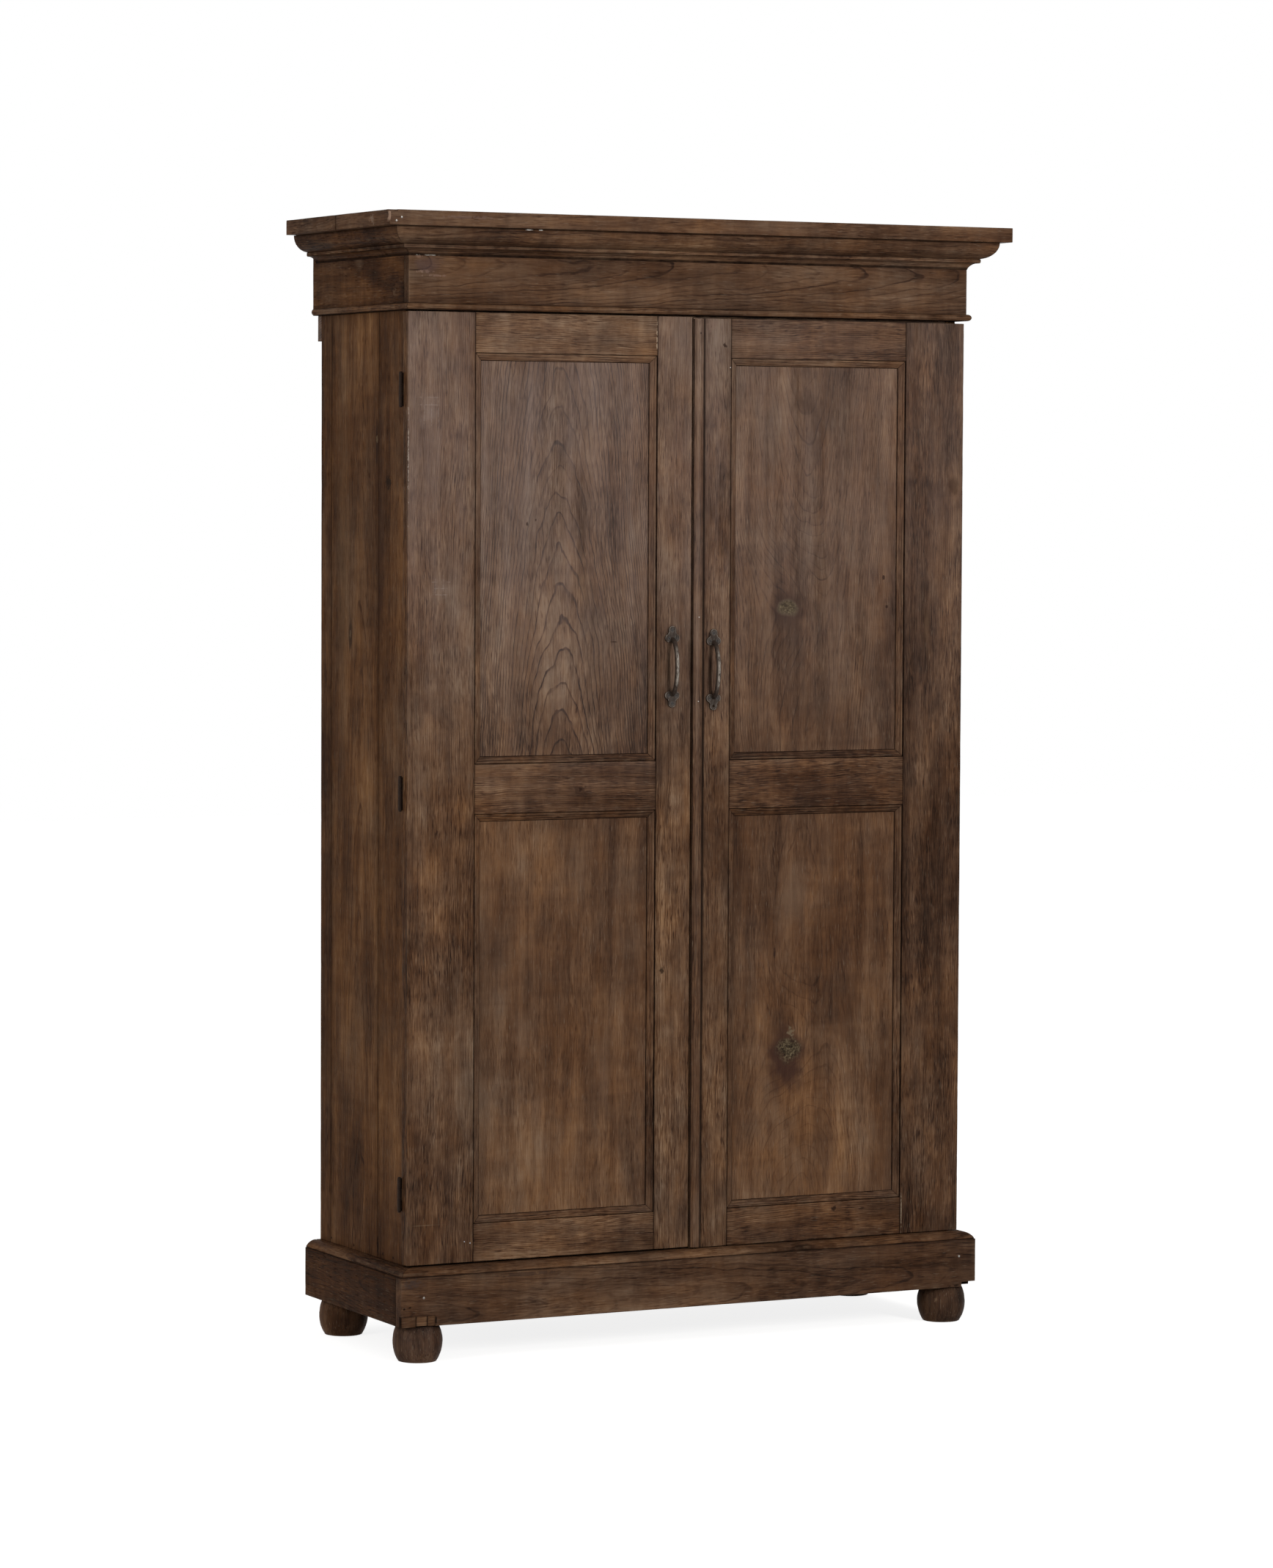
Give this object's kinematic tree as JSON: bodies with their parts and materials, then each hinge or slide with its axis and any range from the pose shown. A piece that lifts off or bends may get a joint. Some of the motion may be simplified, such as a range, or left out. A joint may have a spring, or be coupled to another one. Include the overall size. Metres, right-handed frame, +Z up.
{
  "type": "cabinet",
  "caption": "Tall teak cabinet with hinged panelled doors, iron pull handles, shelves inside, a moulded crown, and a plinth on turned bun feet.",
  "frame": {"origin": "on the floor, under the middle of the whole cabinet's box", "axes": "+Z up, the doors face -Y, +X to the right for someone who faces the doors"},
  "size_m": [1.2388, 0.4751, 2],
  "materials": {
    "side_teak": "aged dark brown teak, satin with wear",
    "door_teak": "aged dark brown teak, satin with wear",
    "panel_teak": "aged dark brown teak, satin with wear",
    "crown_teak": "aged dark brown teak, satin with wear",
    "moulding_teak": "aged dark brown teak, satin with wear",
    "plinth_teak": "aged dark brown teak, satin with wear",
    "turned_teak": "aged dark brown teak, satin with wear",
    "inner_teak": "aged dark brown teak, satin with wear",
    "cast_iron": "dark patinated casting, worn bright along the grip",
    "hinge_iron": "dull aged iron",
    "screw_steel": "dull aged steel",
    "bright_steel": "bright steel"
  },
  "bodies": {
    "carcase": {"back_boards": "inner_teak", "back_cleat": "inner_teak", "cap_boards": "crown_teak", "case_hinge_leaves": "hinge_iron", "case_hinge_screws": "screw_steel", "ceiling_board": "inner_teak", "cornice_front": "moulding_teak", "cornice_left": "moulding_teak", "cornice_right": "moulding_teak", "crown_back_rail": "inner_teak", "crown_bead": "moulding_teak", "crown_blocks": "inner_teak", "door_catches": "inner_teak", "feet": "turned_teak", "floor_board": "inner_teak", "foot_blocks": "inner_teak", "frieze_front": "crown_teak", "frieze_left": "crown_teak", "frieze_right": "crown_teak", "hinge_pins": "hinge_iron", "left_side_boards": "side_teak", "lower_shelf": "inner_teak", "middle_shelf": "inner_teak", "nails": "bright_steel", "plinth_back": "inner_teak", "plinth_front": "plinth_teak", "plinth_left": "plinth_teak", "plinth_moulding": "moulding_teak", "plinth_patches": "plinth_teak", "plinth_right": "plinth_teak", "right_side_boards": "side_teak", "shelf_cleats": "inner_teak", "upper_shelf": "inner_teak"},
    "left_door": {"left_door_bottom_rail": "door_teak", "left_door_catch_plate": "bright_steel", "left_door_handle": "cast_iron", "left_door_handle_screws": "screw_steel", "left_door_hinge_leaves": "hinge_iron", "left_door_hinge_screws": "screw_steel", "left_door_hinge_stile": "door_teak", "left_door_lower_panel": "panel_teak", "left_door_meeting_stile": "door_teak", "left_door_middle_rail": "door_teak", "left_door_panel_mouldings": "moulding_teak", "left_door_top_rail": "door_teak", "left_door_upper_panel": "panel_teak"},
    "right_door": {"right_door_bottom_rail": "door_teak", "right_door_catch_plate": "bright_steel", "right_door_handle": "cast_iron", "right_door_handle_screws": "screw_steel", "right_door_hinge_leaves": "hinge_iron", "right_door_hinge_screws": "screw_steel", "right_door_hinge_stile": "door_teak", "right_door_lower_panel": "panel_teak", "right_door_meeting_bead": "moulding_teak", "right_door_meeting_stile": "door_teak", "right_door_middle_rail": "door_teak", "right_door_panel_mouldings": "moulding_teak", "right_door_top_rail": "door_teak", "right_door_upper_panel": "panel_teak"}
  },
  "joints": [
    {"name": "left_door_hinge", "type": "hinge", "parent": "carcase", "child": "left_door", "pos_m": [-0.5589, -0.1516, 0.9985], "axis": [0, 0, -1], "range_deg": [0, 180]},
    {"name": "right_door_hinge", "type": "hinge", "parent": "carcase", "child": "right_door", "pos_m": [0.5589, -0.1516, 0.9985], "axis": [0, 0, 1], "range_deg": [0, 180]}
  ]
}
